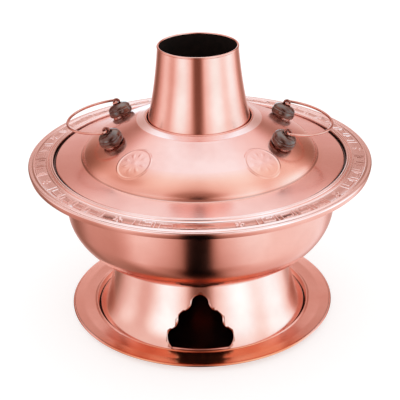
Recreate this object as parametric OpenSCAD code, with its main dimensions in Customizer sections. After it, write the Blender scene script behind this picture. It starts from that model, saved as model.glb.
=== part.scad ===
// Charcoal hot pot with a central chimney: a ring-shaped bowl around a firebox, a
// lid that lifts off over the chimney, and a loose tray under the flared stand.
// Millimetres, +Z up, origin on the axis where the tray meets the table.

/* [Tray] */
// Outside diameter of the tray
tray_d = 272; // [262:1:280]
// Height of the tray's rim above the table
tray_rim_z = 7.3; // [6.6:0.1:8.4]
// Thickness of the tray's sheet
tray_t = 1.5; // [1.2:0.1:1.8]

/* [Stand] */
// Radius of the stand's foot
foot_r = 103.2; // [100:0.4:106]
// Radius of the stand where it meets the bowl
waist_r = 86.2; // [82:0.4:88]
// Thickness of the stand's sheet
stand_t = 1.6; // [1.2:0.1:2]
// Half width of the fire door at its lowest lobes
door_half_w = 32.4; // [28:0.4:34]
// Height of the fire door's crown above the table
door_top_z = 57; // [52:0.5:59]
// How far the fire door is turned from the front, in degrees
door_turn = -1.4; // [-10:0.2:10]

/* [Bowl] */
// Height of the bowl's flat underside above the table
bowl_z = 69.5; // [68:0.5:72]
// Height of the bowl's rim above the table
bowl_rim_z = 163.5; // [158:0.5:168]
// Outside radius of the bowl at its rim
bowl_r = 139.7; // [137:0.3:140.6]
// Thickness of the bowl's wall
bowl_t = 1.8; // [1.4:0.1:2.2]

/* [Rim] */
// Outside diameter of the broad rim
rim_d = 340; // [334:1:346]
// Thickness of the rim's sheet
rim_t = 1.4; // [1.2:0.1:1.6]
// Depth of the rim's turned-down skirt
rim_skirt = 6.6; // [5:0.2:8]

/* [Firebox and chimney] */
// Outside radius of the firebox at the bottom of the bowl
firebox_r = 64; // [61:0.5:66]
// Outside radius at the seam between firebox and chimney
seam_r = 51.3; // [49:0.3:52.5]
// Outside radius of the chimney just under its mouth
mouth_r = 39; // [36:0.5:41]
// Height of the chimney's mouth above the table
mouth_z = 280; // [265:1:290]
// Thickness of the firebox and chimney walls
flue_t = 1.6; // [1.2:0.1:2]
// Width of a slot in the fire grate
grate_slot = 5; // [4:0.5:6]

/* [Lid] */
// Radial gap between the chimney and the hole in the lid
collar_gap = 1.7; // [1.2:0.1:2.4]
// Height of the crease round the lid's neck above the bowl's rim
neck_h = 42.8; // [40:0.4:46]
// Radius of the crease round the lid's neck
neck_r = 62.6; // [60:0.4:65]
// Radius at the foot of the lid's dome
dome_r = 116; // [113:0.5:118]
// Thickness of the lid's sheet
lid_t = 1.2; // [1:0.1:1.5]
// Depth of the ring under the lid that drops inside the bowl
skirt_h = 9; // [7:0.5:12]
// How far the lid is turned on the pot, in degrees
lid_turn = -3.8; // [-90:0.1:90]

/* [Handles] */
// Distance from the pot's axis to a bail's pivot line
pivot_u = 86.5; // [85:0.5:88]
// Distance of each knob from the middle of its bail
knob_v = 38.5; // [37:0.5:40]
// Height of a knob's foot above the dome, at the foot's middle
knob_lift = 1; // [1:0.1:2]
// How far the knobs lean away from the pot's axis, in degrees
knob_tilt = 24; // [22:0.5:28]
// Largest radius of a knob
knob_r = 12; // [10.5:0.25:12.5]
// How far a bail's bow stands outside the middles of its knobs
bow_out = 5.5; // [5:0.25:7]
// Thickness of a bail's wire
bail_d = 2.6; // [2.2:0.1:3]
// Thickness of an eye's wire
eye_d = 2.2; // [1.8:0.1:2.4]
// How far the bails hang below level, in degrees
bail_drop = 7.5; // [0:0.5:15]

/* [Hidden] */
$fn = 96;
small_fn = 32;

rest_gap = 0.3;      // between pieces that only rest on one another
solder_gap = 0.02;   // between pieces soldered together
turn_gap = 0.4;      // between a bail's wire and its eye

copper = [0.93, 0.62, 0.52];
deep_copper = [0.82, 0.48, 0.38];
bronze = [0.24, 0.22, 0.20];
iron = [0.20, 0.19, 0.19];

// tray
tray_bead_r = foot_r + 7.3;
tray_r = tray_d / 2;
tray_flat = tray_r - 2.2 - tray_bead_r - 3.4;

// stand
foot_z = tray_t + rest_gap;
stand_top_z = bowl_z - solder_gap;

// fire door: three pairs of lobes joined by hollows
door_bottom_z = 4.4;
lobe_r = [8.8, 9.3, 8.6];
lobe_c = [
    [0, door_top_z - lobe_r[0]],
    [0.39 * door_half_w, door_bottom_z + 0.52 * (door_top_z - door_bottom_z)],
    [door_half_w - lobe_r[2], door_bottom_z + lobe_r[2]]
];
hollow_r = 7.5;

// bowl
belly_z = bowl_z + 43.5;
belly_r = bowl_r - 5.4;

// rim
rim_r = rim_d / 2;
seat_z = bowl_rim_z + solder_gap + rim_t;
seat_r = bowl_r + 5.7;

// flue
seam_z = 204;
grate_z = bowl_z + 16;

// lid
hole_r = seam_r - 1.4 + collar_gap;
neck_z = bowl_rim_z + neck_h;
hole_z = neck_z + 2;
brim_r = seat_r - 2.2;
brim_z = seat_z + rest_gap + lid_t + 1.3;
dome_z = brim_z + 5.2;
skirt_r = bowl_r - bowl_t - 1.9;

// handles
eye_hole_r = bail_d / 2 + turn_gap;
eye_r = eye_hole_r + eye_d / 2;
cup_r = 4.8;
cup_top = -2.1;
cup_floor = -eye_r - eye_d / 2 - solder_gap;
knob_h = 11.9;
knob_foot = cup_top - knob_h;
shank_r = 1.6;
nut_r = 4;
nut_h = 2.6;
nut_top = knob_foot - 2.2 * lid_t;
shank_end = nut_top - nut_h - 0.6;
bail_r = knob_v + bow_out;
tail_r = 3;
head_r = 1.7;
head_v = knob_v - eye_d / 2 - head_r - rest_gap;
toe_r = 1.1;
toe_reach = 3.6;
toe_drop = knob_tilt + 1 - bail_drop;

// ---- curves ----

// points of a cubic curve from a to d, pulled towards b and c
function curve(a, b, c, d, n, first = 0) = [
    for (i = [first : n])
        let (t = i / n, u = 1 - t)
        u * u * u * a + 3 * u * u * t * b + 3 * u * t * t * c + t * t * t * d
];

// points of an arc, leaving out as many at each end as skip says
function arc(centre, r, from, to, n, skip = 0) = [
    for (i = [skip : n - skip])
        let (angle = from + (to - from) * i / n)
        centre + r * [cos(angle), sin(angle)]
];

function reversed(path) = [for (i = [len(path) - 1 : -1 : 0]) path[i]];

// unit direction of a path at point i
function direction(path, i) =
    let (step = path[min(i + 1, len(path) - 1)] - path[max(i - 1, 0)])
    step / norm(step);

// a path moved sideways to its right by t
function beside(path, t) = [
    for (i = [0 : len(path) - 1])
        let (d = direction(path, i))
        path[i] + t * [d.y, -d.x]
];

// closed outline of a sheet whose faces lie at t0 and t1 to the right of a path
function sheet(path, t1, t0 = 0) = concat(beside(path, t0), reversed(beside(path, t1)));

function heading(from, to) = atan2(to.y - from.y, to.x - from.x);

// where two circles cross, on the left-hand side of the line from a to b
function crossing(a, ra, b, rb) =
    let (
        d = norm(b - a),
        along = (d * d + ra * ra - rb * rb) / (2 * d),
        across = sqrt(ra * ra - along * along),
        e = (b - a) / d
    )
    a + along * e + across * [-e.y, e.x];

module spun(outline) {
    rotate_extrude() polygon(outline);
}

// a piece of round wire bent to radius r, from one angle to another
module bent_wire(r, d, from, to) {
    rotate([0, 0, from])
        rotate_extrude(angle = to - from)
            translate([r, 0]) circle(d = d, $fn = small_fn);
}

// ---- tray and stand ----

function tray_path() = concat(
    [[0, 0], [tray_bead_r - 3.4, 0], [tray_bead_r - 1.7, tray_rim_z - 3.4]],
    arc([tray_bead_r, tray_rim_z - 3.2], 1.1, 150, 30, 4),
    [
        [tray_bead_r + 1.9, tray_rim_z - 3.2],
        [tray_bead_r + 3.4, tray_rim_z - tray_t - 0.6],
        [tray_bead_r + 3.4 + tray_flat / 2, tray_rim_z - tray_t - 0.8],
        [tray_r - 2.2, tray_rim_z - tray_t]
    ]
);

module base_tray() {
    color(copper) rotate_extrude() {
        polygon(sheet(tray_path(), -tray_t));
        translate([tray_r - 1.2, tray_rim_z - 1.1]) circle(r = 1.2, $fn = small_fn);
    }
}

function stand_path() = concat(
    curve(
        [foot_r, foot_z + 0.8],
        [foot_r - 6.7, foot_z + 17],
        [waist_r + 5.3, stand_top_z - 27.5],
        [waist_r, stand_top_z - 1.5],
        7
    ),
    [[waist_r - 1.5, stand_top_z]]
);

// centre of the hollow between lobes i and i + 1
function hollow_c(i) = crossing(
    lobe_c[i], lobe_r[i] + hollow_r, lobe_c[i + 1], lobe_r[i + 1] + hollow_r
);

function hollow(i) =
    let (
        c = hollow_c(i),
        from = heading(c, lobe_c[i]),
        to = heading(c, lobe_c[i + 1])
    )
    arc(c, hollow_r, from, to < from ? to + 360 : to, 5, 1);

// the door's right-hand edge, from the crown down to the sill
function door_half() = concat(
    arc(lobe_c[0], lobe_r[0], 90, heading(lobe_c[0], hollow_c(0)), 6),
    hollow(0),
    arc(
        lobe_c[1], lobe_r[1],
        heading(lobe_c[1], hollow_c(0)), heading(lobe_c[1], hollow_c(1)), 6
    ),
    hollow(1),
    arc(lobe_c[2], lobe_r[2], heading(lobe_c[2], hollow_c(1)), -90, 10)
);

module door_outline() {
    half = door_half();
    polygon(concat(half, [for (i = [len(half) - 1 : -1 : 1]) [-half[i].x, half[i].y]]));
}

module stand() {
    color(copper) difference() {
        rotate_extrude() {
            polygon(sheet(stand_path(), -stand_t));
            translate([foot_r - 2.4, foot_z + 1.6]) circle(r = 1.6, $fn = small_fn);
            translate([waist_r - 9, stand_top_z - stand_t]) square([8.6, stand_t]);
        }
        rotate([90, 0, door_turn])
            translate([0, 0, waist_r - 26]) linear_extrude(foot_r) door_outline();
    }
}

// ---- bowl and rim ----

function bowl_path() = concat(
    [[firebox_r + solder_gap, bowl_z], [80, bowl_z + 0.3]],
    curve(
        [80, bowl_z + 0.3],
        [114, bowl_z + 0.5],
        [belly_r - 2.8, belly_z - 19],
        [belly_r, belly_z],
        8,
        1
    ),
    curve(
        [belly_r, belly_z],
        [belly_r + 2.3, belly_z + 15],
        [bowl_r - 1.8, bowl_rim_z - 19],
        [bowl_r, bowl_rim_z - 3],
        3,
        1
    ),
    [[bowl_r, bowl_rim_z]]
);

module bowl() {
    color(copper) spun(sheet(bowl_path(), -bowl_t));
}

// from the lid's seat, over the inner bead and the broad band, down the skirt
function rim_path() = concat(
    [[bowl_r - 2.5, seat_z], [seat_r - 1.2, seat_z]],
    arc([seat_r - 1.2, seat_z + 1.2], 1.2, -60, 0, 2),
    arc([seat_r + 1.7, seat_z + 3.2], 1.7, 170, 35, 5),
    [
        [seat_r + 4.1, seat_z + 3.6],
        [seat_r + 5.6, seat_z + 3.5],
        [rim_r - 7.2, seat_z + 2.3]
    ],
    arc([rim_r - 5.6, seat_z + 1.2], 1.7, 125, 60, 3),
    [[rim_r - 3, seat_z + 2.1]],
    arc([rim_r - 1.6, seat_z + 0.7], 1.6, 80, 0, 4),
    [[rim_r - 1.1, seat_z + 2.3 - rim_skirt]]
);

module rim() {
    color(copper) spun(sheet(rim_path(), rim_t));
}

// ---- firebox, grate and chimney ----

function firebox_path() = concat(
    [[firebox_r, bowl_z - 3]],
    curve(
        [firebox_r, bowl_z + bowl_t + 1],
        [firebox_r + 2, bowl_z + 50],
        [seam_r + 7.4, seam_z - 31],
        [seam_r, seam_z - 2],
        7
    ),
    [[seam_r, seam_z]]
);

function chimney_path() = concat(
    [[seam_r, seam_z + solder_gap]],
    curve(
        [seam_r, seam_z + 2],
        [seam_r - 5.1, seam_z + 17],
        [mouth_r + 2.7, mouth_z - 32],
        [mouth_r, mouth_z],
        8
    )
);

module firebox() {
    color(deep_copper) spun(sheet(firebox_path(), -flue_t));
}

// ring inside the seam that joins the firebox to the chimney
module seam_sleeve() {
    r = seam_r - flue_t - solder_gap;
    color(deep_copper)
        translate([0, 0, seam_z - 2])
            difference() {
                cylinder(r = r, h = 4);
                translate([0, 0, -1]) cylinder(r = r - 1.4, h = 6);
            }
}

module grate_ledge() {
    color(deep_copper)
        translate([0, 0, grate_z - 2])
            difference() {
                cylinder(r = firebox_r - flue_t - solder_gap, h = 2);
                translate([0, 0, -1]) cylinder(r = firebox_r - 9, h = 4);
            }
}

module fire_grate() {
    pitch = grate_slot * 2;
    reach = firebox_r - 12;
    color(iron)
        translate([0, 0, grate_z + solder_gap])
            difference() {
                cylinder(r = firebox_r - flue_t - 1.5, h = 3.5);
                for (i = [-4 : 4])
                    let (half = sqrt(reach * reach - i * i * pitch * pitch) - grate_slot / 2)
                    if (half > grate_slot)
                        translate([i * pitch, 0, -1]) slot(half, grate_slot, 6);
            }
}

// a long hole with round ends, along Y
module slot(half, w, h) {
    linear_extrude(h) {
        square([w, 2 * half], center = true);
        for (s = [-1, 1]) translate([0, s * half]) circle(d = w, $fn = small_fn);
    }
}

module chimney() {
    color(copper) rotate_extrude() {
        polygon(sheet(chimney_path(), -flue_t));
        translate([mouth_r - 0.6, mouth_z]) circle(r = 1.1, $fn = small_fn);
    }
}

// ---- lid ----

function dome_path() = concat(
    [[hole_r + 1, hole_z], [neck_r - 0.6, neck_z + 0.3]],
    curve(
        [neck_r, neck_z],
        [86, neck_z - 11.3],
        [dome_r - 4, dome_z + 11.6],
        [dome_r, dome_z],
        9
    ),
    [
        [dome_r + 1.4, dome_z - 1.4],
        [dome_r + 4, dome_z - 2.2],
        [brim_r, brim_z]
    ]
);

// the dome with the brim's edge turned down onto the rim's seat
module lid_dome() {
    inner = reversed(beside(dome_path(), lid_t));
    color(copper) difference() {
        spun(concat(
            dome_path(),
            [
                [brim_r, seat_z + rest_gap],
                [brim_r - lid_t, seat_z + rest_gap],
                [brim_r - lid_t, inner[0].y + 0.2]
            ],
            [for (i = [1 : len(inner) - 1]) inner[i]]
        ));
        for (side = sides, s = [-1, 1])
            at_knob(side, s)
                translate([0, 0, shank_end])
                    cylinder(r = shank_r + 0.05, h = -shank_end, $fn = small_fn);
    }
}

module lid_collar() {
    color(copper) rotate_extrude()
        difference() {
            translate([hole_r + 0.95, hole_z]) circle(r = 1, $fn = small_fn);
            polygon(sheet(dome_path(), lid_t + solder_gap, -solder_gap));
        }
}

module lid_skirt() {
    slope = (dome_z - 2.2 - brim_z) / (brim_r - dome_r - 4);
    top_z = brim_z + (brim_r - skirt_r) * slope - 1.02 * lid_t - 0.02;
    color(copper)
        translate([0, 0, top_z - skirt_h])
            difference() {
                cylinder(r = skirt_r, h = skirt_h);
                translate([0, 0, -1]) cylinder(r = skirt_r - lid_t, h = skirt_h + 2);
            }
}

// everything under a face that lies clear below the dome's upper one
module under_dome(clear) {
    rotate_extrude($fn = 360) polygon(concat(
        beside(dome_path(), clear),
        [[brim_r, neck_z - 60], [0, neck_z - 60], [0, hole_z]]
    ));
}

// ---- handles ----

sides = [0, 180];    // right and left

// the pivot line stands on the dome, which a knob's foot clears by knob_lift
lean_turn = atan2(knob_v, pivot_u);
foot_reach = norm([pivot_u, knob_v]) + knob_foot * sin(knob_tilt);
pivot_z = lookup(foot_reach, dome_path()) + knob_lift - knob_foot * cos(knob_tilt);

// moves a piece from the pivot line's own frame to its side of the lid
module at_side(side) {
    rotate([0, 0, lid_turn + side]) translate([pivot_u, 0, pivot_z]) children();
}

// an eye's frame: origin at its centre, +Y along the pivot line
module at_eye(side, s) {
    at_side(side) translate([0, s * knob_v, 0]) children();
}

// a knob's frame: origin at the eye's centre, +Z up the knob, which leans outwards
module at_knob(side, s) {
    at_eye(side, s) rotate([0, 0, s * lean_turn]) rotate([0, knob_tilt, 0]) children();
}

// two tiers with a groove between, and a cup in the crown round the eye
function knob_outline() =
    let (r = knob_r, z = knob_foot)
    concat(
        [[shank_r + 0.05, z], [r - 1.6, z]],
        curve([r - 1.6, z], [r - 0.5, z + 0.4], [r, z + 1.6], [r, z + 3.4], 4, 1),
        [[r - 0.2, z + 5.6], [r - 0.9, z + 6.2], [r - 0.6, z + 6.9]],
        curve([r - 0.6, z + 6.9], [r - 0.8, z + 9.4], [r - 3.6, z + 11.3], [cup_r + 0.9, cup_top], 5, 1),
        [[cup_r, cup_top], [cup_r - 0.2, cup_floor], [shank_r + 0.05, cup_floor]]
    );

module knob(side, s) {
    color(bronze) at_knob(side, s) rotate_extrude($fn = 48) polygon(knob_outline());
}

// copper washer that levels a knob on the slope of the dome
module knob_seat(side, s) {
    color(deep_copper) difference() {
        at_knob(side, s)
            translate([0, 0, knob_foot - 4])
                cylinder(r = knob_r - 2.4, h = 4 - solder_gap, $fn = 48);
        under_dome(-solder_gap);
        at_knob(side, s) translate([0, 0, -40]) cylinder(r = shank_r + 0.05, h = 40, $fn = small_fn);
    }
}

module eye(side, s) {
    color(bronze) {
        at_eye(side, s) rotate([90, 0, 0]) bent_wire(eye_r, eye_d, 0, 360);
        difference() {
            at_knob(side, s)
                translate([0, 0, shank_end])
                    cylinder(r = shank_r, h = -shank_end - eye_r, $fn = small_fn);
            at_eye(side, s)
                rotate([90, 0, 0])
                    cylinder(r = eye_hole_r, h = 6, center = true, $fn = small_fn);
        }
    }
}

module knob_nuts() {
    color(bronze) for (side = sides, s = [-1, 1])
        at_knob(side, s)
            translate([0, 0, nut_top - nut_h])
                difference() {
                    cylinder(r = nut_r, h = nut_h, $fn = 6);
                    translate([0, 0, -1]) cylinder(r = shank_r + 0.05, h = nut_h + 2, $fn = small_fn);
                }
}

// one end of a bow: turned in through its eye, with a head that keeps it there and
// a toe that comes down on the knob's crown and holds the bow up
module bail_end(bow_end) {
    turn_v = (bail_r - tail_r) * sin(bow_end);
    translate([tail_r, turn_v, 0]) bent_wire(tail_r, bail_d, bow_end + 3, 177);
    for (p = [[0, turn_v, 0], bail_r * [cos(bow_end), sin(bow_end), 0]])
        translate(p) sphere(r = bail_d / 2 + 0.1, $fn = small_fn);
    translate([0, turn_v - 0.1, 0]) rotate([90, 0, 0])
        cylinder(d = bail_d, h = turn_v - 0.1 - head_v - 1.2, $fn = small_fn);
    translate([0, head_v, 0]) {
        sphere(r = head_r, $fn = small_fn);
        rotate([0, 90 + toe_drop, 0])
            translate([0, 0, 1]) cylinder(r = toe_r, h = toe_reach - 1, $fn = small_fn);
    }
}

module bail(side) {
    bow_end = acos(tail_r / (bail_r - tail_r));
    color(copper) at_side(side) rotate([0, bail_drop, 0]) {
        bent_wire(bail_r, bail_d, 0.2 - bow_end, bow_end - 0.2);
        bail_end(bow_end);
        mirror([0, 1, 0]) bail_end(bow_end);
    }
}

base_tray();
stand();
bowl();
rim();
firebox();
grate_ledge();
fire_grate();
seam_sleeve();
chimney();
lid_dome();
lid_collar();
lid_skirt();
knob_seat(0, -1);  // knob_seat_fr
knob_seat(0, 1);  // knob_seat_rr
knob_seat(180, 1);  // knob_seat_fl
knob_seat(180, -1);  // knob_seat_rl
knob(0, -1);  // knob_fr
knob(0, 1);  // knob_rr
knob(180, 1);  // knob_fl
knob(180, -1);  // knob_rl
eye(0, -1);  // eye_fr
eye(0, 1);  // eye_rr
eye(180, 1);  // eye_fl
eye(180, -1);  // eye_rl
knob_nuts();
bail(0);  // bail_right
bail(180);  // bail_left
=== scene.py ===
import math

import bmesh
import bpy
from mathutils import Matrix, Vector


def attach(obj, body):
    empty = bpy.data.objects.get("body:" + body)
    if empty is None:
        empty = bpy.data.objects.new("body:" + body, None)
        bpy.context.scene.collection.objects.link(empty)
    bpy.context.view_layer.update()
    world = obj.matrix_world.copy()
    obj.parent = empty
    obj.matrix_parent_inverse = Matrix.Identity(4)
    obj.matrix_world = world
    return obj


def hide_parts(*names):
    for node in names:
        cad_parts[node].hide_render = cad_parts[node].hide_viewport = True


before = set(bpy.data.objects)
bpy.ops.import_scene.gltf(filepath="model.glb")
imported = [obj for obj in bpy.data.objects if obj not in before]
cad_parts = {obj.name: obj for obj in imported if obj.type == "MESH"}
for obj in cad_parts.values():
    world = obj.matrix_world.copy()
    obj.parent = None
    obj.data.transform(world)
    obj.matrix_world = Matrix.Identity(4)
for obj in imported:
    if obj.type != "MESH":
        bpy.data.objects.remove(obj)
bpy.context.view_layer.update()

mm = 0.001
scene = bpy.context.scene
scene.view_settings.view_transform = "Standard"


def linear(hexText, alpha=1.0):
    def one(v):
        return v / 12.92 if v <= 0.04045 else ((v + 0.055) / 1.055) ** 2.4
    return tuple(one(int(hexText[i:i + 2], 16) / 255) for i in (1, 3, 5)) + (alpha,)


# outlines, in millimetres as (radius, height)

def bezier(a, b, c, d, n, first=0):
    points = []
    for i in range(first, n + 1):
        t = i / n
        u = 1 - t
        points.append(tuple(
            u ** 3 * a[k] + 3 * u * u * t * b[k] + 3 * u * t * t * c[k] + t ** 3 * d[k]
            for k in (0, 1)))
    return points


def arc(centre, r, start, end, n, first=0):
    points = []
    for i in range(first, n + 1):
        angle = math.radians(start + (end - start) * i / n)
        points.append((centre[0] + r * math.cos(angle), centre[1] + r * math.sin(angle)))
    return points


def ring(centre, r, n=20):
    return arc(centre, r, 0, 360, n)[:-1]


def rounded(corners, steps=5):
    # corners are (radius, height, fillet radius), the fillet left out where it is sharp
    points = []
    for i, corner in enumerate(corners):
        p = Vector(corner[:2])
        fillet = corner[2] if len(corner) > 2 else 0
        if not fillet or i in (0, len(corners) - 1):
            points.append(tuple(p))
            continue
        a = (Vector(corners[i - 1][:2]) - p).normalized()
        b = (Vector(corners[i + 1][:2]) - p).normalized()
        half = a.angle(b) / 2
        reach = fillet / math.tan(half)
        centre = p + (a + b).normalized() * fillet / math.sin(half)
        fromCentre = p + a * reach - centre
        toCentre = p + b * reach - centre
        turn = fromCentre.angle_signed(toCentre)
        for k in range(steps + 1):
            rotated = fromCentre.copy()
            rotated.rotate(Matrix.Rotation(-turn * k / steps, 2))
            points.append(tuple(centre + rotated))
    return points


def beside(path, t):
    # the path moved to its left by t
    moved = []
    last = len(path) - 1
    for i, p in enumerate(path):
        before = Vector(p) - Vector(path[max(i - 1, 0)])
        after = Vector(path[min(i + 1, last)]) - Vector(p)
        a = before.normalized() if before.length else after.normalized()
        b = after.normalized() if after.length else a
        d = (a + b).normalized()
        stretch = min(1 / max(d.dot(a), 0.3), 1.6)
        moved.append((p[0] - d.y * t * stretch, p[1] + d.x * t * stretch))
    return moved


def sheet(path, t):
    return path + beside(path, t)[::-1]


def lathe(name, outlines, materials, steps=216, sharp=40, innerFrom=None):
    # each outline is closed and turned about Z; innerFrom gives the first outline's
    # side from which faces take the second material
    mesh = bpy.data.meshes.new(name)
    verts = []
    faces = []
    slots = []
    for number, outline in enumerate(outlines):
        base = len(verts)
        count = len(outline)
        for k in range(steps):
            angle = 2 * math.pi * k / steps
            c, s = math.cos(angle), math.sin(angle)
            verts += [(r * c * mm, r * s * mm, z * mm) for r, z in outline]
        for k in range(steps):
            here = base + k * count
            there = base + (k + 1) % steps * count
            for i in range(count):
                j = (i + 1) % count
                faces.append((here + i, there + i, there + j, here + j))
                inside = number == 0 and innerFrom is not None and i >= innerFrom
                slots.append(1 if inside else 0)
    mesh.from_pydata(verts, [], faces)
    for material in materials:
        mesh.materials.append(material)
    mesh.polygons.foreach_set("material_index", slots)
    return finishMesh(name, mesh, sharp)


def finishMesh(name, mesh, sharp=40):
    tidy = bmesh.new()
    tidy.from_mesh(mesh)
    bmesh.ops.remove_doubles(tidy, verts=tidy.verts, dist=1e-7)
    bmesh.ops.recalc_face_normals(tidy, faces=tidy.faces)
    tidy.to_mesh(mesh)
    tidy.free()
    mesh.polygons.foreach_set("use_smooth", [True] * len(mesh.polygons))
    mesh.set_sharp_from_angle(angle=math.radians(sharp))
    thing = bpy.data.objects.new(name, mesh)
    scene.collection.objects.link(thing)
    return thing


# materials

def addNode(tree, kind, inputs=None, **settings):
    node = tree.nodes.new(kind)
    for key, value in settings.items():
        setattr(node, key, value)
    for key, value in (inputs or {}).items():
        if isinstance(value, bpy.types.NodeSocket):
            tree.links.new(value, node.inputs[key])
        else:
            node.inputs[key].default_value = value
    return node


def newMaterial(name):
    material = bpy.data.materials.new(name)
    material.use_nodes = True
    tree = material.node_tree
    return material, tree, tree.nodes["Principled BSDF"]


def turnedCoordinates(tree):
    # radius, height and a little of the angle, so that lines run round the axis
    place = addNode(tree, "ShaderNodeTexCoord").outputs["Object"]
    xyz = addNode(tree, "ShaderNodeSeparateXYZ", {0: place})
    flat = addNode(tree, "ShaderNodeCombineXYZ", {0: xyz.outputs[0], 1: xyz.outputs[1]})
    radius = addNode(tree, "ShaderNodeVectorMath", {0: flat.outputs[0]}, operation="LENGTH")
    angle = addNode(tree, "ShaderNodeMath", {0: xyz.outputs[1], 1: xyz.outputs[0]},
                    operation="ARCTAN2")
    little = addNode(tree, "ShaderNodeMath", {0: angle.outputs[0], 1: 0.004},
                     operation="MULTIPLY")
    return addNode(tree, "ShaderNodeCombineXYZ", {
        0: radius.outputs["Value"], 1: xyz.outputs[2], 2: little.outputs[0]}).outputs[0], place


copperLook = {
    "colour": "#F6BBAA",
    "worn": "#F1AF9D",
    "patch": 38 * mm,
    # dark brown for crevices and gaps: painted shade, with some tarnish
    "shadeAndTarnish": "#6B3528",
    "crevice": 1.6 * mm,
    "roughness": (0.13, 0.22),
    "lineWidth": 0.45 * mm,
    "lineDepth": 0.008 * mm,
    "stretch": 0.6,
    "stretchTurn": 0.25,
    "coat": 0.2,
    "coatRoughness": 0.08,
    # rings of colour round the axis, mostly painted shade, highlights and reflections, as inner
    # radius, outer radius, top, share, colour and soft edge
    "rings": [],
    # the painted rings fade from the first to the second distance behind the axis
    "fadeBehind": (20 * mm, 100 * mm),
    # painted reflection in front of the fire door: its colour, and where it starts and is full
    "heat": None,
}


def turnedCopper(name, look, **changes):
    # copper sheet, spun and brushed on the lathe, then lacquered: fine lines run round
    # the pot, so each light draws out into a tall band
    look = {**look, **changes}
    material, tree, shader = newMaterial(name)
    turned, place = turnedCoordinates(tree)
    patches = addNode(tree, "ShaderNodeTexNoise", {
        "Vector": place, "Scale": 1 / look["patch"], "Detail": 4.0, "Roughness": 0.55})
    tone = addNode(tree, "ShaderNodeMapRange", {
        "Value": patches.outputs["Fac"], "From Min": 0.35, "From Max": 0.7})
    # sockets 6 and 7 are the two colours of a Mix node
    metal = addNode(tree, "ShaderNodeMix", {
        "Factor": tone.outputs[0], 6: linear(look["colour"]), 7: linear(look["worn"])},
        data_type="RGBA")
    # painted shade, with some tarnish: crevices and gaps that ambient occlusion finds are darkened
    # to dark brown, as where the polishing wheel doesn't reach; the mask named polished marks the
    # open copper
    openness = addNode(tree, "ShaderNodeAmbientOcclusion", {"Distance": look["crevice"]},
                       samples=6)
    polished = addNode(tree, "ShaderNodeMapRange", {
        "Value": openness.outputs["AO"], "From Min": 0.25, "From Max": 0.7})
    colour = addNode(tree, "ShaderNodeMix", {
        "Factor": polished.outputs[0], 6: linear(look["shadeAndTarnish"]), 7: metal.outputs[2]},
        data_type="RGBA")
    # radius and height, and how far behind the axis
    xyz = addNode(tree, "ShaderNodeSeparateXYZ", {0: turned})
    depth = addNode(tree, "ShaderNodeSeparateXYZ", {0: place}).outputs[1]
    frontShare = addNode(tree, "ShaderNodeMapRange", {
        "Value": depth, "From Min": look["fadeBehind"][1], "From Max": look["fadeBehind"][0],
        "To Min": 0.1})
    # paint the rings of shade, highlight, reflection and colour, faded behind the axis
    for inner, outer, top, share, bandColour, soft in look["rings"]:
        half = (outer - inner) / 2
        offset = addNode(tree, "ShaderNodeMath", {
            0: xyz.outputs[0], 1: (inner + half) * mm}, operation="SUBTRACT")
        away = addNode(tree, "ShaderNodeMath", {0: offset.outputs[0]}, operation="ABSOLUTE")
        within = addNode(tree, "ShaderNodeMapRange", {
            "Value": away.outputs[0], "From Min": (half + soft) * mm,
            "From Max": (half - soft) * mm, "To Max": share}, interpolation_type="SMOOTHSTEP")
        under = addNode(tree, "ShaderNodeMath", {0: xyz.outputs[1], 1: top * mm},
                        operation="LESS_THAN")
        part = addNode(tree, "ShaderNodeMath", {0: within.outputs[0], 1: under.outputs[0]},
                       operation="MULTIPLY")
        part = addNode(tree, "ShaderNodeMath", {0: part.outputs[0], 1: frontShare.outputs[0]},
                       operation="MULTIPLY")
        colour = addNode(tree, "ShaderNodeMix", {
            "Factor": part.outputs[0], 6: colour.outputs[2], 7: linear(bandColour)},
            data_type="RGBA")
    if look["heat"]:
        # painted reflection: the copper in front of the fire door is tinted orange
        tint, start, end = look["heat"]
        near = addNode(tree, "ShaderNodeMapRange", {
            "Value": depth, "From Min": start * mm, "From Max": end * mm})
        colour = addNode(tree, "ShaderNodeMix", {
            "Factor": near.outputs[0], 6: colour.outputs[2], 7: linear(tint)},
            data_type="RGBA")
    low, high = look["roughness"]
    rough = addNode(tree, "ShaderNodeMapRange", {
        "Value": patches.outputs["Fac"], "From Min": 0.3, "From Max": 0.75,
        "To Min": low, "To Max": high})
    lines = addNode(tree, "ShaderNodeTexNoise", {
        "Vector": turned, "Scale": 1 / look["lineWidth"], "Detail": 3.0, "Roughness": 0.6})
    bump = addNode(tree, "ShaderNodeBump", {
        "Height": lines.outputs["Fac"], "Strength": 1.0, "Distance": look["lineDepth"]})
    tree.links.new(colour.outputs[2], shader.inputs["Base Color"])
    tree.links.new(rough.outputs[0], shader.inputs["Roughness"])
    tree.links.new(bump.outputs[0], shader.inputs["Normal"])
    shader.inputs["Metallic"].default_value = 1
    if look["stretch"]:
        tangent = addNode(tree, "ShaderNodeTangent", direction_type="RADIAL", axis="Z")
        tree.links.new(tangent.outputs[0], shader.inputs["Tangent"])
        shader.inputs["Anisotropic"].default_value = look["stretch"]
        shader.inputs["Anisotropic Rotation"].default_value = look["stretchTurn"]
    shader.inputs["Coat Weight"].default_value = look["coat"]
    shader.inputs["Coat Roughness"].default_value = look["coatRoughness"]
    return material


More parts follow.
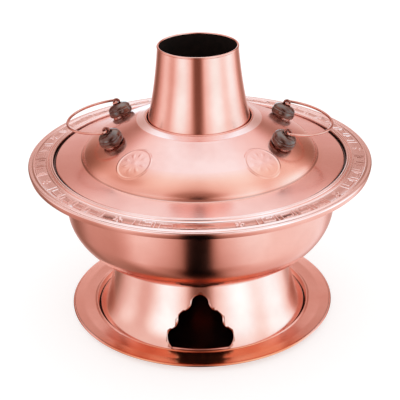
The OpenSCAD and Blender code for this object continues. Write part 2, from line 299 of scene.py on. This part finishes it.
def patchyMetal(name, look):
    # metal that isn't polished: soft patches between two colours, and a slight relief.
    # Everything else that look names is a socket of the shader
    material, tree, shader = newMaterial(name)
    turned, place = turnedCoordinates(tree)
    patches = addNode(tree, "ShaderNodeTexNoise", {
        "Vector": turned if look["turned"] else place, "Scale": 1 / look["patch"],
        "Detail": look["detail"]})
    ramp = addNode(tree, "ShaderNodeValToRGB", {"Fac": patches.outputs["Fac"]})
    for stop, (position, colour) in zip(ramp.color_ramp.elements, look["colours"]):
        stop.position = position
        stop.color = linear(colour)
    strength, distance = look["relief"]
    bump = addNode(tree, "ShaderNodeBump", {
        "Height": patches.outputs["Fac"], "Strength": strength, "Distance": distance})
    tree.links.new(ramp.outputs[0], shader.inputs["Base Color"])
    tree.links.new(bump.outputs[0], shader.inputs["Normal"])
    for socket, value in look["shader"].items():
        shader.inputs[socket].default_value = value
    if look.get("roughness"):
        low, high = look["roughness"]
        rough = addNode(tree, "ShaderNodeMapRange", {
            "Value": patches.outputs["Fac"], "From Min": 0.3, "From Max": 0.75,
            "To Min": low, "To Max": high})
        tree.links.new(rough.outputs[0], shader.inputs["Roughness"])
    return material


# near black for the gap between the lid's brim and the rim: painted shade
gapShade = "#2A100A"
copper = turnedCopper("brushed copper", copperLook)
# wide soft lights, and painted light in rings: painted shade, near black in the gap round the brim
# and brown in the crease, a painted orange reflection low on the dome and a pale painted highlight
# on the neck
lidCopper = turnedCopper(
    "brushed lid copper", copperLook, stretch=0.8, roughness=(0.17, 0.25),
    colour="#F7C1B4", worn="#F2B5A8",
    rings=[(142.6, 144.5, 167.4, 0.92, gapShade, 0.1), (116.4, 117.8, 172.2, 0.35, "#4A2218", 0.3),
           (99, 117, 190, 0.5, "#F2A784", 7), (53, 61.6, 215, 0.8, "#FFEAE5", 0.5)])
# satin with bright ridges, in a paler copper that is a painted highlight, with painted shade near
# black in the gap inside it and a little browner between the lines of the fret
rimCopper = turnedCopper(
    "satin rim copper", copperLook, stretch=0, roughness=(0.15, 0.22), colour="#FDDCD3",
    worn="#FAD2C7", crevice=0.5 * mm,
    rings=[(137, 145.8, 167.6, 0.92, gapShade, 0.1), (152, 163.4, 168, 0.15, "#B0705F", 0.2)])
# raised lines, polished, and painted almost white: a painted highlight
fretCopper = turnedCopper("polished fret copper", copperLook, stretch=0, roughness=(0.12, 0.18),
                          colour="#FDE2DB", worn="#FBD9D0", crevice=0.2 * mm)
# the brightest wall: a paler copper that paints in its nearly white lights, a painted highlight
standCopper = turnedCopper("brushed stand copper", copperLook, colour="#F9CCBC",
                           worn="#F6C1B1")
# pink at the sides, with a painted orange reflection in front of the fire door
trayCopper = turnedCopper("brushed tray copper", copperLook, colour="#F8C0B0",
                          heat=("#F0A079", -80, -108))
# plain wire, without the lathe's lines, and darker where it is bent into eyes
wire = {"stretch": 0, "lineWidth": 0.3 * mm, "lineDepth": 0.004 * mm}
wireCopper = turnedCopper("drawn copper wire", copperLook, roughness=(0.15, 0.25),
                          colour="#E9A896", worn="#D99583", **wire)
eyeCopper = turnedCopper("browned copper wire", copperLook, roughness=(0.12, 0.22),
                         colour="#B57A6B", worn="#94594A", **wire)
# inside of the flue and the ash chamber: copper under baked-on soot, nearly black, which also
# paints in the shade of the closed interior
sootAndShade = patchyMetal("sooted copper", {
    "colours": [(0, "#0B0807"), (1, "#2A1A14")], "patch": 6 * mm, "detail": 6.0,
    "turned": False, "relief": (0.4, 0.3 * mm),
    "shader": {"Metallic": 0.1, "Roughness": 0.8, "Specular IOR Level": 0.2}})
# wiped tin inside the bowl: soft grey, with the cloth's marks round it
tin = patchyMetal("wiped tin", {
    "colours": [(0, "#A9A49E"), (1, "#D2CDC6")], "patch": 2.5 * mm, "detail": 4.0,
    "turned": True, "relief": (0.5, 0.05 * mm),
    "shader": {"Metallic": 1, "Roughness": 0.35}})
# turned bronze knobs with a brown-black patina, rubbed and waxed: dark and glossy, with
# clear grey lights on the crown
bronze = patchyMetal("patinated bronze", {
    "colours": [(0.3, "#5E413B"), (0.75, "#93776B")], "patch": 11 * mm, "detail": 3.0,
    "turned": False, "relief": (0.3, 0.05 * mm), "roughness": (0.13, 0.24),
    "shader": {"Metallic": 0.9, "Coat Weight": 0.25, "Coat Roughness": 0.12}})
# cast grate: matt grey-black, with pits and a dust of ash
iron = patchyMetal("cast iron", {
    "colours": [(0, "#1B1A1A"), (1, "#4A4745")], "patch": 1.5 * mm, "detail": 5.0,
    "turned": False, "relief": (0.5, 0.3 * mm),
    "shader": {"Metallic": 0.4, "Roughness": 0.7}})
print("materials done")


# tray

tray = {"radius": 136, "top": 7.3, "sheet": 1.5, "bead": 111.2}


def trayOutline(t):
    # the well's side, a slim bead, and a rim that is very slightly dished
    b, top = t["bead"], t["top"]
    upper = rounded([(0, t["sheet"]), (b - 3.4, t["sheet"], 1.5), (b - 1.6, top - 1.8, 0.6)]) \
        + arc((b - 0.3, top - 1.35), 1.0, 160, 15, 8) + rounded([
            (b + 1.2, top - 1.3, 0.3), (b + 2.1, top - 0.75, 0.5),
            (b + 13.4, top - 0.8, 30), (t["radius"] - 2.2, top)])
    lower = rounded([(t["radius"] - 2.2, top - t["sheet"]), (b + 13.4, top - 2.3, 30),
                     (b + 1.5, top - 2.4, 2), (b - 0.6, top - 3.6, 1), (b - 2.2, 0, 1), (0, 0)])
    return upper + lower


trayPiece = lathe("tray", [
    trayOutline(tray),
    ring((tray["radius"] - 1.25, tray["top"] - 1.15), 1.2),
], [trayCopper])
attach(trayPiece, "tray_body")
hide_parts("base_tray")
print("tray done")


# stand

stand = {
    "foot": 106.2, "waist": 86.2, "bottom": 1.8, "top": 69.48, "sheet": 1.6,
    "doorHalfWidth": 33, "doorTop": 57, "doorBottom": 3.2, "doorTurn": -1.4,
    "doorCut": (26, 20), "lobes": (8.8, 9.3, 9.6), "hollow": 10, "lip": 0.7, "lipInset": 0.9,
    "hem": 1.6, "steps": 28,
}


def doorOutline(s):
    # three pairs of lobes joined by hollows, from the crown down the right-hand side
    lobes = [
        (0, s["doorTop"] - s["lobes"][0]),
        (0.39 * s["doorHalfWidth"], s["doorBottom"] + 0.52 * (s["doorTop"] - s["doorBottom"])),
        (s["doorHalfWidth"] - s["lobes"][2], s["doorBottom"] + s["lobes"][2]),
    ]

    def heading(a, b):
        return math.degrees(math.atan2(b[1] - a[1], b[0] - a[0]))

    def hollowCentre(i):
        a, b = Vector(lobes[i]), Vector(lobes[i + 1])
        ra, rb = s["lobes"][i] + s["hollow"], s["lobes"][i + 1] + s["hollow"]
        d = (b - a).length
        along = (d * d + ra * ra - rb * rb) / (2 * d)
        across = math.sqrt(ra * ra - along * along)
        e = (b - a) / d
        return a + along * e + across * Vector((-e.y, e.x))

    centres = [hollowCentre(0), hollowCentre(1)]
    side = arc(lobes[0], s["lobes"][0], 90, heading(lobes[0], centres[0]), 10)
    for i in (0, 1):
        start, end = heading(centres[i], lobes[i]), heading(centres[i], lobes[i + 1])
        if end < start:
            end += 360
        side += arc(centres[i], s["hollow"], start, end, 10, 1)
        nextStart = heading(lobes[i + 1], centres[i])
        if i == 0:
            side += arc(lobes[1], s["lobes"][1], nextStart, heading(lobes[1], centres[1]), 12, 1)
        else:
            side += arc(lobes[2], s["lobes"][2], nextStart, -90, 20, 1)
    return side + [(-x, z) for x, z in side[:0:-1]]


def standOutline(s):
    path = bezier(
        (s["foot"] + 0.6, s["bottom"] + 0.8), (s["foot"] - 11.2, s["bottom"] + 15),
        (s["waist"] + 5.3, s["top"] - 27.5), (s["waist"], s["top"] - 1.5), s["steps"])
    path += [(s["waist"] - 0.5, s["top"] - 0.4), (s["waist"] - 1.5, s["top"])]
    return sheet(path, s["sheet"])


def prism(name, outline, near, far, turn):
    # an outline in X and Z, carried along -Y and turned about Z
    mesh = bpy.data.meshes.new(name)
    count = len(outline)
    verts = [(x * mm, -y * mm, z * mm) for y in (near, far) for x, z in outline]
    faces = [tuple(range(count)), tuple(range(2 * count - 1, count - 1, -1))]
    faces += [(i, i + count, (i + 1) % count + count, (i + 1) % count) for i in range(count)]
    mesh.from_pydata(verts, [], faces)
    mesh.transform(Matrix.Rotation(math.radians(turn), 4, "Z"))
    return finishMesh(name, mesh)


def cutAway(thing, tool):
    cut = thing.modifiers.new("door", "BOOLEAN")
    cut.object = tool
    cut.operation = "DIFFERENCE"
    cut.solver = "EXACT"
    view = bpy.context.evaluated_depsgraph_get()
    mesh = bpy.data.meshes.new_from_object(thing.evaluated_get(view))
    thing.modifiers.clear()
    thing.data = mesh
    bpy.data.objects.remove(tool)


def tube(name, points, radius, material, sides=10):
    # a round bead along a closed line
    curve = bpy.data.curves.new(name, "CURVE")
    curve.dimensions = "3D"
    curve.bevel_depth = radius
    curve.bevel_resolution = sides // 2 - 1
    line = curve.splines.new("POLY")
    line.points.add(len(points) - 1)
    for point, p in zip(line.points, points):
        point.co = (*p, 1)
    line.use_cyclic_u = True
    holder = bpy.data.objects.new(name, curve)
    scene.collection.objects.link(holder)
    view = bpy.context.evaluated_depsgraph_get()
    mesh = bpy.data.meshes.new_from_object(holder.evaluated_get(view))
    bpy.data.objects.remove(holder)
    mesh.materials.clear()
    mesh.materials.append(material)
    return finishMesh(name, mesh, 60)


def standRadius(s, z):
    path = standOutline(s)[:s["steps"] + 1]
    for (r0, z0), (r1, z1) in zip(path, path[1:]):
        if z0 <= z <= z1:
            return r0 + (r1 - r0) * (z - z0) / (z1 - z0)
    return path[0][0]


outline = standOutline(stand)
standPiece = lathe("stand", [outline], [standCopper, sootAndShade], steps=240, innerFrom=len(outline) // 2)
cutAway(standPiece, prism("doorTool", doorOutline(stand), stand["waist"] - stand["doorCut"][0],
                          stand["foot"] + stand["doorCut"][1], stand["doorTurn"]))
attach(standPiece, "pot_body")
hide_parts("stand")

# a wired hem at the foot, and the flange that is soldered to the bowl
standRings = lathe("standRings", [
    ring((stand["foot"] - 1.5 * stand["hem"], stand["bottom"] + stand["hem"]), stand["hem"]),
    [(stand["waist"] - 9, stand["top"] - 1.6), (stand["waist"] - 0.8, stand["top"] - 1.6),
     (stand["waist"] - 0.8, stand["top"]), (stand["waist"] - 9, stand["top"])],
], [standCopper])
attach(standRings, "pot_body")

turn = Matrix.Rotation(math.radians(stand["doorTurn"]), 3, "Z")
lipPoints = []
for x, z in doorOutline(stand):
    r = standRadius(stand, z) - stand["lipInset"]
    lipPoints.append(turn @ Vector((x, -math.sqrt(r * r - x * x), z)) * mm)
doorLip = tube("doorLip", lipPoints, stand["lip"] * mm, standCopper)
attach(doorLip, "pot_body")
print("stand done")


# bowl

bowl = {"bottom": 69.5, "rim": 163.5, "radius": 139.7, "sheet": 1.8, "hole": 64.02,
        "belly": (134.3, 113)}


def bowlOutline(b):
    br, bz = b["belly"]
    path = [(b["hole"], b["bottom"]), (80, b["bottom"] + 0.3)]
    path += bezier((80, b["bottom"] + 0.3), (114, b["bottom"] + 0.5), (br - 2.8, bz - 19),
                   (br, bz), 44, 1)
    path += bezier((br, bz), (br + 2.3, bz + 15), (b["radius"] - 1.8, b["rim"] - 19),
                   (b["radius"], b["rim"] - 3), 16, 1)
    path += [(b["radius"], b["rim"])]
    return sheet(path, b["sheet"])


outline = bowlOutline(bowl)
bowlPiece = lathe("bowl", [outline], [copper, tin], steps=240, innerFrom=len(outline) // 2)
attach(bowlPiece, "pot_body")
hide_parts("bowl")
print("bowl done")


# rim, with a fret band

rim = {"seat": 164.92, "seatRadius": 145.4, "radius": 170, "sheet": 1.4, "skirt": 6.6,
       "inner": 137.2}


def rimPath(m):
    s, r0, r1 = m["seat"], m["seatRadius"], m["radius"]
    path = [(m["inner"], s)] + rounded([(m["inner"], s), (r0, s, 1.0), (r0, s + 4)])[1:-1]
    path += arc((r0 + 1.05, s + 3.75), 1.05, 180, 30, 9)
    path += arc((r0 + 2.9, s + 3.75), 0.8, 150, 10, 7)
    path += rounded([
        (r0 + 3.75, s + 3.5), (r0 + 4.0, s + 2.7, 0.2), (r0 + 4.5, s + 2.7, 0.3),
        (r0 + 5.3, s + 3.75, 0.5), (r0 + 6.6, s + 3.3, 0.3), (r0 + 7, s + 2.75, 0.2),
        (r1 - 6.9, s + 1.75),
    ])
    path += arc((r1 - 5.5, s + 1.55), 1.25, 165, 45, 8)
    path += rounded([(r1 - 4.2, s + 2.15), (r1 - 3.4, s + 1.9, 0.6), (r1 - 2.4, s + 2.15)])
    path += arc((r1 - 1.6, s + 0.7), 1.6, 75, 0, 8)
    path += [(r1 - 0.25, s - 1.2), (r1 - 1.1, s + 2.3 - m["skirt"])]
    return path


path = rimPath(rim)
rimPiece = lathe("rim", [sheet(path, -rim["sheet"])], [rimCopper, copper], steps=300, sharp=50,
                 innerFrom=len(path) - 3)
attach(rimPiece, "pot_body")
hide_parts("rim")

fret = {
    "modules": 9, "start": 2.3, "flower": 6.5, "unit": 6.75, "units": 4,
    "from": 152.7, "to": 163.0, "proud": 0.42, "sunk": 0.15, "line": 0.85, "draft": 0.16,
    "bend": 1.6, "petals": 5, "petalReach": 2.9, "petalHalfLength": 1.9, "petalHalfWidth": 1.25,
}


def bandHeight(r):
    # height of the band's ground under the fret
    m = rim
    a = (m["seatRadius"] + 7, m["seat"] + 2.75)
    b = (m["radius"] - 6.9, m["seat"] + 1.75)
    return a[1] + (b[1] - a[1]) * (r - a[0]) / (b[0] - a[0])


def bar(verts, faces, corners, f):
    # a raised bar with sloped sides, over corners given as (radius, azimuth)
    cr = sum(c[0] for c in corners) / len(corners)
    ca = sum(c[1] for c in corners) / len(corners)
    base = len(verts)
    draft = f["draft"]
    for level in (0, 1):
        for r, az in corners:
            if level:
                r += max(-draft, min(draft, cr - r))
                az += math.degrees(max(-draft, min(draft, math.radians(ca - az) * cr)) / cr)
            h = bandHeight(r) + (f["proud"] if level else -f["sunk"])
            a = math.radians(az)
            verts.append((r * math.cos(a) * mm, r * math.sin(a) * mm, h * mm))
    n = len(corners)
    faces.append(tuple(base + n + i for i in range(n)))
    for i in range(n):
        j = (i + 1) % n
        faces.append((base + i, base + j, base + n + j, base + n + i))


def fretMesh(f):
    verts, faces = [], []
    w = f["line"]
    r0, r1 = f["from"], f["to"]
    middle = (r0 + r1) / 2

    def along(a0, a1, r, width=w):
        # a bar that follows the band from azimuth a0 to a1 at radius r
        steps = max(1, round(abs(a1 - a0) / f["bend"]))
        for i in range(steps):
            b0 = a0 + (a1 - a0) * i / steps
            b1 = a0 + (a1 - a0) * (i + 1) / steps
            bar(verts, faces, [(r - width / 2, b0), (r + width / 2, b0),
                               (r + width / 2, b1), (r - width / 2, b1)], f)

    def across(az, ra, rb, width=w):
        # a bar across the band at one azimuth
        half = math.degrees(width / 2 / middle)
        bar(verts, faces, [(ra, az - half), (rb, az - half), (rb, az + half),
                           (ra, az + half)], f)

    for k in range(f["modules"]):
        flower = f["start"] - 360 / f["modules"] * k
        first = flower - f["flower"]
        for u in range(f["units"]):
            # two hooks that lock, turned the other way on the far side of the middle
            a0 = first - u * f["unit"]
            a1 = a0 - f["unit"]
            inset = (a0 - a1) * 0.2
            flip = u % 2
            lo, hi = (r1, r0) if flip else (r0, r1)
            step = (hi - lo) / 4
            across(a0 - 0.35, r0, r1)
            along(a0 - 0.35, a1 + inset, hi - w / 2 * (1 if hi > lo else -1))
            across(a1 + inset, hi, lo + step)
            along(a1 + inset, a0 - inset, lo + step)
            across(a0 - inset, lo + step, hi - step)
            along(a0 - inset, a1 + 2 * inset, hi - step)
        # a flower between two bars
        across(flower + f["flower"] - 0.6, r0, r1)
        across(flower - f["flower"] + 0.6, r0, r1)
        reach, length, breadth = f["petalReach"], f["petalHalfLength"], f["petalHalfWidth"]
        for petal in range(f["petals"]):
            tip = math.radians(360 / f["petals"] * petal + 90)
            corners = []
            for q in range(8):
                t = 2 * math.pi * q / 8
                x = (reach + length * math.cos(t)) * math.cos(tip) \
                    - breadth * math.sin(t) * math.sin(tip)
                y = (reach + length * math.cos(t)) * math.sin(tip) \
                    + breadth * math.sin(t) * math.cos(tip)
                corners.append((middle + x, flower + math.degrees(y / middle)))
            bar(verts, faces, corners, f)
    mesh = bpy.data.meshes.new("fretBand")
    mesh.from_pydata(verts, [], faces)
    mesh.materials.append(fretCopper)
    return finishMesh("fretBand", mesh, 20)


fretPiece = fretMesh(fret)
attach(fretPiece, "pot_body")
print("rim done")


# chimney

chimney = {"seam": 51.3, "bottom": 204.02, "mouth": 39, "top": 280, "sheet": 1.6, "roll": 1.1}


def chimneyOutline(c):
    path = [(c["seam"], c["bottom"])]
    path += bezier((c["seam"], c["bottom"] + 2), (c["seam"] - 5.1, c["bottom"] + 17),
                   (c["mouth"] + 2.7, c["top"] - 32), (c["mouth"], c["top"]), 40)
    return sheet(path, c["sheet"])


outline = chimneyOutline(chimney)
chimneyPiece = lathe("chimney", [
    outline, ring((chimney["mouth"] - 0.6, chimney["top"]), chimney["roll"]),
], [copper, sootAndShade], innerFrom=len(outline) // 2)
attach(chimneyPiece, "pot_body")
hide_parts("chimney")
print("chimney done")


# lid

lid = {"hole": 51.6, "holeTop": 208.3, "neck": (62.6, 206.3), "dome": (116, 172.92),
       "brim": (143.2, 167.72), "sheet": 1.2, "seat": 165.22, "collar": 1.0}


def lidPath(d):
    (nr, nz), (dr, dz), (br, bz) = d["neck"], d["dome"], d["brim"]
    hole, top = d["hole"], d["holeTop"]
    path = rounded([(hole + 1, top + 0.6), (hole + 3.2, top + 0.5, 1.5),
                    (nr - 0.5, nz + 0.35, 0.7), (nr + 2, nz - 0.8)])
    path = path[:-1] + bezier((nr, nz), (86, nz - 11.3), (dr - 4, dz + 11.6), (dr, dz), 54, 1)
    path += rounded([
        (dr, dz), (dr + 1.6, dz - 1.9, 1.6), (dr + 6, dz - 2.5, 8), (br - 0.9, bz + 0.1, 0.8),
        (br, bz - 0.8),
    ])[1:]
    return path


def lidOutline(d):
    path = lidPath(d)
    br = d["brim"][0]
    inner = [p for p in beside(path, -d["sheet"])[::-1] if p[0] < br - d["sheet"] - 0.3]
    return path + [(br, d["seat"]), (br - d["sheet"], d["seat"]),
                   (br - d["sheet"], inner[0][1])] + inner, len(path) + 2


outline, inner = lidOutline(lid)
lidPiece = lathe("lid", [outline], [lidCopper, tin], steps=240, innerFrom=inner)
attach(lidPiece, "lid_body")
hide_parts("lid_dome")

collarPiece = lathe("lidCollar", [
    arc((lid["hole"] + 0.95, lid["holeTop"] + 0.05), lid["collar"], -20, 200, 14)
], [copper])
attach(collarPiece, "lid_body")
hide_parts("lid_collar")


def domeHeight(r):
    path = lidPath(lid)
    for (r0, z0), (r1, z1) in zip(path, path[1:]):
        if r0 <= r <= r1 and r1 > r0:
            return z0 + (z1 - z0) * (r - r0) / (r1 - r0)
    return path[-1][1]


medallion = {"radius": 18.6, "reach": 94.6, "azimuths": (-130, -52.4, 50, 127.6), "proud": 0.4,
             "petals": 8}


def embossed(m, rho, theta):
    # a thin ridge round a flat field, with a small rosette in the middle of it
    t = rho / m["radius"]
    ridge = math.exp(-((t - 0.9) / 0.045) ** 2)
    petals = max(0, math.cos(m["petals"] * theta)) * math.exp(-((t - 0.5) / 0.13) ** 2)
    heart = math.exp(-(t / 0.16) ** 2)
    edge = -0.25 * max(0, (t - 0.95) / 0.05)
    return m["proud"] * (ridge + 0.5 * petals + 0.5 * heart) + 0.05 + edge


def medallionPiece(m, azimuth, number):
    verts, faces = [], []
    rings, around = 48, 96
    for i in range(rings + 1):
        rho = m["radius"] * i / rings
        for k in range(around):
            theta = 2 * math.pi * k / around
            u, v = rho * math.cos(theta), rho * math.sin(theta)
            r = m["reach"] + u * 0.9
            az = math.radians(azimuth) + v / m["reach"]
            slope = (domeHeight(r + 0.5) - domeHeight(r - 0.5))
            tilt = math.atan(slope)
            h = embossed(m, rho, theta)
            rr = r - math.sin(tilt) * h
            zz = domeHeight(r) + math.cos(tilt) * h
            verts.append((rr * math.cos(az) * mm, rr * math.sin(az) * mm, zz * mm))
    for i in range(rings):
        for k in range(around):
            j = (k + 1) % around
            faces.append((i * around + k, (i + 1) * around + k,
                          (i + 1) * around + j, i * around + j))
    mesh = bpy.data.meshes.new("medallion")
    mesh.from_pydata(verts, [], faces)
    mesh.materials.append(lidCopper)
    thing = finishMesh(f"medallion{number}", mesh, 80)
    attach(thing, "lid_body")
    return thing


for number, azimuth in enumerate(medallion["azimuths"]):
    medallionPiece(medallion, azimuth, number + 1)
print("lid done")


# knobs

knob = {"radius": 12, "foot": -14, "cup": 4.8, "cupTop": -2.1, "cupFloor": -3.92,
        "shank": 1.65, "lean": 24, "pivot": (86.5, 38.5, 207.459), "turn": -3.8}


def knobOutline(k):
    # a rounded base, a groove, a cap that curves in, and a cup round the eye
    r, z = k["radius"], k["foot"]
    return [(k["shank"], z)] \
        + bezier((r - 1.6, z), (r - 0.5, z + 0.4), (r, z + 1.6), (r, z + 3.4), 10) \
        + rounded([(r, z + 3.4), (r - 0.2, z + 5.6, 0.5), (r - 0.9, z + 6.2, 0.25),
                   (r - 0.6, z + 6.9)])[1:-1] \
        + bezier((r - 0.6, z + 6.9), (r - 0.8, z + 9.4), (r - 3.6, z + 11.3),
                 (k["cup"] + 0.9, k["cupTop"]), 14) \
        + [(k["cup"] + 0.4, k["cupTop"] + 0.05), (k["cup"], k["cupTop"] - 0.25),
           (k["cup"] - 0.2, k["cupFloor"]), (k["shank"], k["cupFloor"])]


def knobPlace(k, side, s):
    # the knob leans away from the pot's axis, about its own spot on the dome
    u, v, z = k["pivot"]
    outward = math.atan2(s * v, u)
    return Matrix.Rotation(math.radians(k["turn"] + side), 4, "Z") \
        @ Matrix.Translation(Vector((u, s * v, z)) * mm) \
        @ Matrix.Rotation(outward, 4, "Z") \
        @ Matrix.Rotation(math.radians(k["lean"]), 4, "Y")


for label, side, s in (("fr", 0, -1), ("rr", 0, 1), ("fl", 180, 1), ("rl", 180, -1)):
    piece = lathe("knob." + label, [knobOutline(knob)], [bronze], steps=72)
    piece.matrix_world = knobPlace(knob, side, s)
    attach(piece, "lid_body")
    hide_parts("knob_" + label)
print("knobs done")


# what the CAD model shows as it is

nodeFinish = {
    "firebox": copper, "seam_sleeve": sootAndShade, "grate_ledge": sootAndShade, "fire_grate": iron,
    "lid_skirt": tin, "knob_nuts": bronze, "bail_right": wireCopper, "bail_left": wireCopper,
}
for corner in ("fr", "rr", "fl", "rl"):
    nodeFinish["knob_seat_" + corner] = copper
    nodeFinish["eye_" + corner] = eyeCopper
for name, finish in nodeFinish.items():
    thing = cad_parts[name]
    thing.data.materials.clear()
    thing.data.materials.append(finish)
print("nodes done")


# floor, light and camera

# white paper: the camera sees it near white, with the pot's faint shadow on it
paper = {"half": 6, "drop": 0.3 * mm, "colour": "#C8C8C8", "glow": 0.58}


def paperFloor(p):
    half = p["half"]
    mesh = bpy.data.meshes.new("floor")
    mesh.from_pydata([(-half, -half, 0), (half, -half, 0), (half, half, 0), (-half, half, 0)],
                     [], [(0, 1, 2, 3)])
    material, _, shader = newMaterial("white paper")
    shader.inputs["Base Color"].default_value = linear(p["colour"])
    shader.inputs["Roughness"].default_value = 1
    shader.inputs["Specular IOR Level"].default_value = 0
    shader.inputs["Emission Color"].default_value = (1, 1, 1, 1)
    shader.inputs["Emission Strength"].default_value = p["glow"]
    mesh.materials.append(material)
    thing = bpy.data.objects.new("floor", mesh)
    thing.location.z = -p["drop"]
    scene.collection.objects.link(thing)
    # the metal mirrors the studio below instead
    thing.visible_glossy = False
    thing.visible_transmission = False
    return thing


paperFloor(paper)

# the studio round the pot, which the metal mirrors: a backdrop whose level changes with
# elevation, and soft lights and dark cards on it. Each is azimuth with 0 in front, elevation,
# half its width and height in degrees, level added, and how much of it is soft edge
backdrop = [(-80, 0.13), (-20, 0.83), (40, 0.92), (70, 0.95)]
softLights = [
    (-2, -19, 19, 71, -0.65, 0.66),     # dark gap in front, where the camera stands
    (-5, 41, 38, 36, -0.57, 0.63),      # its upper part
    (-10, -57, 74, 31, -0.6, 0.84),     # and the shade under it
    (-43, -2, 30, 24, 0.97, 0.89),      # left key
    (-43, -49, 45, 39, 0.54, 0.77),     # table lit by it
    (45, -3, 37, 49, 0.96, 1.0),        # right key
    (55, 43, 28, 29, 0.37, 1.0),        # its upper part
    (94, 4, 33, 45, 0.8, 0.85),         # right side
    (78, -45, 87, 40, 0.47, 0.36),      # table lit by them
    (-94, -7, 19, 17, 0.25, 1.0),       # left side
    (-138, 3, 32, 70, -0.59, 0.84),     # dark card behind on the left
    (142, 6, 28, 51, -0.51, 0.84),      # and on the right
    (-102, 51, 35, 27, -0.45, 1.0),     # gaps between the sides and the ceiling
    (118, 51, 54, 17, -0.22, 0.57),
    (177, 28, 54, 19, -0.36, 1.0),
    (183, -1, 11, 16, 0.7, 0.35),       # low light behind
    (172, 74, 162, 54, 0.52, 0.68),     # ceiling
]
# strength of the mirrored studio, of its soft light on matt things, and of the white that
# the camera sees
strengths = {"mirrored": 2.0, "soft": 0.95, "seen": 1.0}
# colour of the mirrored light at each level, as hex of the light divided by its strength
shades = [
    (0.0, "#000000"), (0.05, "#2C1811"), (0.2, "#5A3D34"), (0.37, "#785C53"),
    (0.6, "#967B75"), (0.82, "#AC9795"), (1.0, "#BCB9BC"), (1.3, "#C1D0D9"),
    (1.6, "#C3E4F3"), (1.8, "#C3EFFF"),
]


def lightWorld(backdrop, softLights, shades, strengths):
    world = bpy.data.worlds.new("studio")
    world.use_nodes = True
    scene.world = world
    tree = world.node_tree
    for node in list(tree.nodes):
        tree.nodes.remove(node)
    direction = addNode(tree, "ShaderNodeTexCoord").outputs["Generated"]
    xyz = addNode(tree, "ShaderNodeSeparateXYZ", {0: direction})
    back = addNode(tree, "ShaderNodeMath", {0: xyz.outputs[1], 1: -1.0}, operation="MULTIPLY")
    azimuth = addNode(tree, "ShaderNodeMath", {0: xyz.outputs[0], 1: back.outputs[0]},
                      operation="ARCTAN2")
    elevation = addNode(tree, "ShaderNodeMath", {0: xyz.outputs[2]}, operation="ARCSINE")
    place = addNode(tree, "ShaderNodeCombineXYZ", {0: azimuth.outputs[0],
                                                   1: elevation.outputs[0]})
    low, high = backdrop[0][0], backdrop[-1][0]
    upward = addNode(tree, "ShaderNodeMapRange", {
        "Value": elevation.outputs[0], "From Min": math.radians(low),
        "From Max": math.radians(high)})
    wall = addNode(tree, "ShaderNodeValToRGB", {"Fac": upward.outputs[0]})
    stops = wall.color_ramp.elements
    stops[1].position = 1
    for value, level in backdrop[1:-1]:
        stops.new((value - low) / (high - low))
    for stop, (value, level) in zip(stops, backdrop):
        stop.color = (level, level, level, 1)
    total = wall.outputs[0]
    for az, el, halfWidth, halfHeight, level, soft in softLights:
        away = addNode(tree, "ShaderNodeVectorMath", {
            0: place.outputs[0], 1: (math.radians(az), math.radians(el), 0)},
            operation="SUBTRACT")
        nearest = addNode(tree, "ShaderNodeVectorMath", {
            0: away.outputs[0], 1: (math.pi, math.pi, math.pi),
            2: (-math.pi, -math.pi, -math.pi)}, operation="WRAP")
        scaled = addNode(tree, "ShaderNodeVectorMath", {
            0: nearest.outputs[0], 1: (math.radians(halfWidth), math.radians(halfHeight), 1)},
            operation="DIVIDE")
        distance = addNode(tree, "ShaderNodeVectorMath", {0: scaled.outputs[0]},
                           operation="LENGTH")
        glow = addNode(tree, "ShaderNodeMapRange", {
            "Value": distance.outputs["Value"], "From Min": 1 - soft, "From Max": 1,
            "To Min": level, "To Max": 0}, interpolation_type="SMOOTHSTEP")
        total = addNode(tree, "ShaderNodeMath", {0: total, 1: glow.outputs[0]}).outputs[0]
    share = addNode(tree, "ShaderNodeMath", {0: total, 1: shades[-1][0]}, operation="DIVIDE")
    ramp = addNode(tree, "ShaderNodeValToRGB", {"Fac": share.outputs[0]})
    stops = ramp.color_ramp.elements
    stops[0].position, stops[0].color = 0, linear(shades[0][1])
    stops[1].position, stops[1].color = 1, linear(shades[-1][1])
    for value, colour in shades[1:-1]:
        stops.new(value / shades[-1][0]).color = linear(colour)
    mirrored = addNode(tree, "ShaderNodeBackground", {
        "Color": ramp.outputs[0], "Strength": strengths["mirrored"]})
    matt = addNode(tree, "ShaderNodeBackground", {
        "Color": (1, 1, 1, 1), "Strength": strengths["soft"]})
    seen = addNode(tree, "ShaderNodeBackground", {
        "Color": (1, 1, 1, 1), "Strength": strengths["seen"]})
    path = addNode(tree, "ShaderNodeLightPath")
    lit = addNode(tree, "ShaderNodeMixShader", {
        0: path.outputs["Is Glossy Ray"], 1: matt.outputs[0], 2: mirrored.outputs[0]})
    final = addNode(tree, "ShaderNodeMixShader", {
        0: path.outputs["Is Camera Ray"], 1: lit.outputs[0], 2: seen.outputs[0]})
    addNode(tree, "ShaderNodeOutputWorld", {"Surface": final.outputs[0]})


lightWorld(backdrop, softLights, shades, strengths)

# the photograph's view, for a picture of 400 by 400
view = {"place": (0, -1.0031, 0.6070), "elevation": 26.08, "roll": -0.992,
        "focal": 1096.3, "width": 400, "centre": 200.51, "sensor": 36}
cameraData = bpy.data.cameras.new("camera")
cameraData.sensor_width = view["sensor"]
cameraData.lens = view["focal"] * view["sensor"] / view["width"]
cameraData.shift_x = -(view["centre"] - view["width"] / 2) / view["width"]
camera = bpy.data.objects.new("camera", cameraData)
scene.collection.objects.link(camera)
camera.matrix_world = Matrix.Translation(view["place"]) \
    @ Matrix.Rotation(math.radians(90 - view["elevation"]), 4, "X") \
    @ Matrix.Rotation(math.radians(view["roll"]), 4, "Z")
scene.camera = camera
print("studio done")
